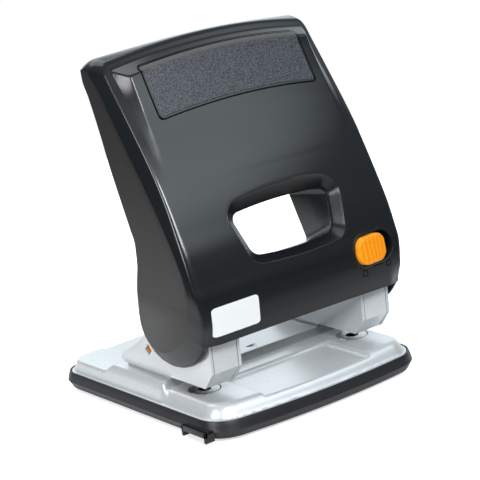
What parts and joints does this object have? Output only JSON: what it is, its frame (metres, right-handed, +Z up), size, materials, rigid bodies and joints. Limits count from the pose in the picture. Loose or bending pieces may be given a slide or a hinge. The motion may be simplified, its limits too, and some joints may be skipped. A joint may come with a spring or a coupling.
{
  "type": "two-hole desk punch",
  "caption": "Desk hole punch with a tall leaning press handle, steel brackets over a paper bed, spring-returned punch pins, a sliding lock and a lift-off chip tray.",
  "frame": {"origin": "middle of the base's width and depth, on the desk under the rubber feet", "axes": "+Z up, +Y to the back away from the side where the paper goes in, +X to the user's right"},
  "size_m": [0.1122, 0.1236, 0.1545],
  "materials": {
    "tray_plastic": "satin",
    "rubber": "matte",
    "silver_paint": "metallic satin",
    "hardened_steel": "polished",
    "dark_steel": "satin",
    "orange_plastic": "satin",
    "gloss_black_plastic": "semi-gloss",
    "matte_black_plastic": "matte",
    "grip_rubber": "fine grain"
  },
  "bodies": {
    "tray": {"chip_tray": "tray_plastic", "rubber_feet": "rubber"},
    "punch_unit": {"base_plate": "silver_paint", "die_left": "hardened_steel", "die_right": "hardened_steel", "bracket_left": "silver_paint", "bracket_right": "silver_paint", "front_guard_left": "silver_paint", "front_guard_right": "silver_paint", "punch_guide_left": "dark_steel", "punch_guide_right": "dark_steel", "return_spring_left": "hardened_steel", "return_spring_right": "hardened_steel", "pivot_shaft": "hardened_steel", "pivot_clips": "dark_steel", "bracket_rivets": "hardened_steel", "lock_catch": "orange_plastic"},
    "handle": {"lever_frame": "dark_steel", "lever_screws": "dark_steel", "handle_cover": "gloss_black_plastic", "handle_back": "matte_black_plastic", "back_screws": "dark_steel", "window_bezel": "matte_black_plastic", "grip_pad": "grip_rubber", "slider_retainer": "dark_steel", "detent_spring": "hardened_steel", "drive_pin_left": "hardened_steel", "drive_pin_right": "hardened_steel"},
    "lock_slider": {"lock_slider": "orange_plastic"},
    "punch_left": {"punch_left": "hardened_steel"},
    "punch_right": {"punch_right": "hardened_steel"}
  },
  "joints": [
    {"name": "lift_off", "type": "slide", "parent": "tray", "child": "punch_unit", "axis": [0, 0, 1], "range_m": [0, 0.03]},
    {"name": "press", "type": "hinge", "parent": "punch_unit", "child": "handle", "pos_m": [0, -0.0404, 0.0478], "axis": [-1, 0, 0], "range_deg": [0, 45], "stiffness_Nm_per_rad": 0.4, "springref_deg": -17.19},
    {"name": "lock_slide", "type": "slide", "parent": "handle", "child": "lock_slider", "axis": [0.9929, 0.1193, 0], "range_m": [0, 0.004]},
    {"name": "punch_left_slide", "type": "slide", "parent": "punch_unit", "child": "punch_left", "axis": [0, 0, -1], "range_m": [0, 0.0078], "deforming": ["return_spring_left"]},
    {"name": "punch_right_slide", "type": "slide", "parent": "punch_unit", "child": "punch_right", "axis": [0, 0, -1], "range_m": [0, 0.0078], "deforming": ["return_spring_right"]}
  ],
  "couplings": [
    {"joint": "punch_left_slide", "follows": "press", "m_per_rad": 0.00974},
    {"joint": "punch_right_slide", "follows": "press", "m_per_rad": 0.00974}
  ]
}
